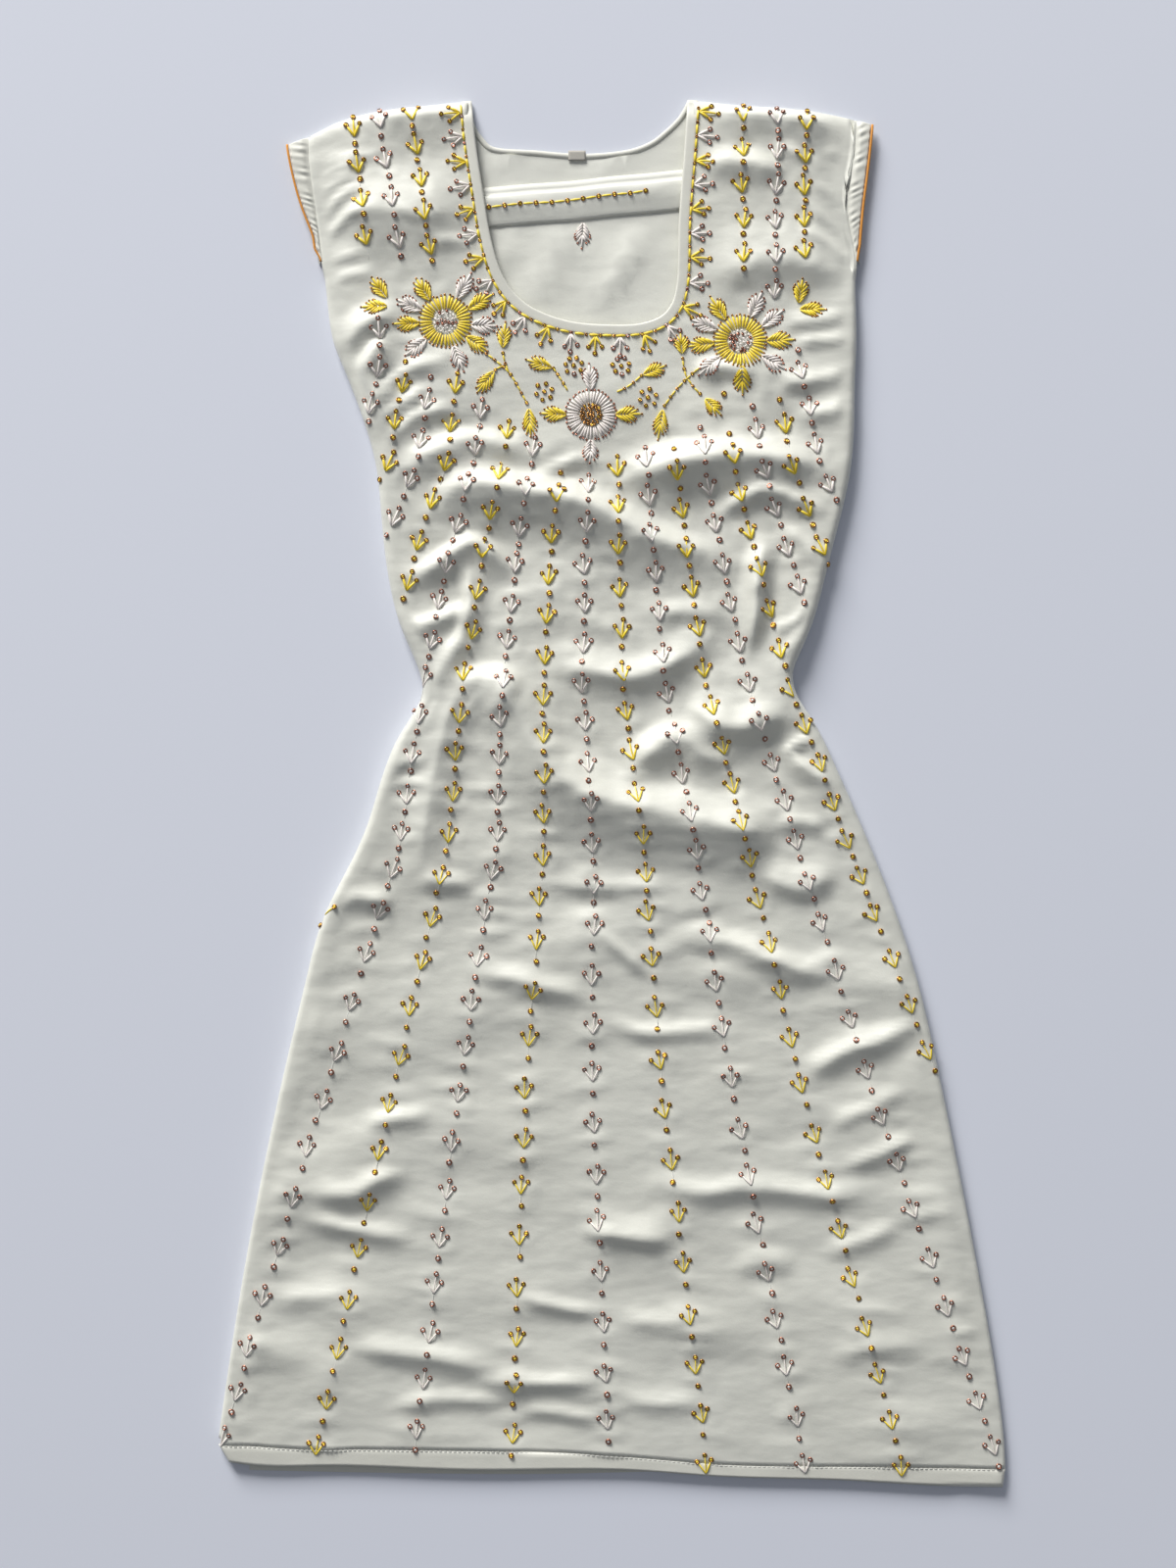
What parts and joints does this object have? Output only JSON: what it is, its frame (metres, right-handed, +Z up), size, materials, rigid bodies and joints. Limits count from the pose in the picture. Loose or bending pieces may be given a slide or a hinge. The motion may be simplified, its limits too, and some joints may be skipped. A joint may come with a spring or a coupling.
{
  "type": "kurta",
  "caption": "Ivory kurta with cap sleeves and a square-round neck, laid flat with turned sides, gathered sleeve bands and raised thread flowers.",
  "frame": {"origin": "middle of the laid garment's box, on the surface that it lies on", "axes": "+Y from the hem to the neck, +Z up out of the front, +X to the right as seen from above"},
  "size_m": [0.5476, 0.9617, 0.0171],
  "materials": {
    "crepe": "ivory crepe with a soft sheen",
    "band": "ivory crepe, turned and pressed",
    "edging": "ochre corded edging",
    "label": "plain woven tab",
    "yellow_thread": "lustrous yellow embroidery thread",
    "pink_thread": "lustrous pale pink embroidery thread",
    "gold_bead": "polished gold-coloured bead",
    "rose_bead": "polished rose-coloured bead"
  },
  "bodies": {
    "root": {"front_panel": "crepe", "back_panel": "crepe", "back_tuck": "crepe", "front_neck_band": "band", "back_neck_band": "band", "front_hem": "band", "back_hem": "band", "left_cuff_front": "band", "left_cuff_back": "band", "right_cuff_front": "band", "right_cuff_back": "band", "left_cuff_edging": "edging", "right_cuff_edging": "edging", "neck_label": "label", "left_flower": "yellow_thread", "right_flower": "yellow_thread", "centre_flower": "pink_thread"}
  },
  "joints": []
}
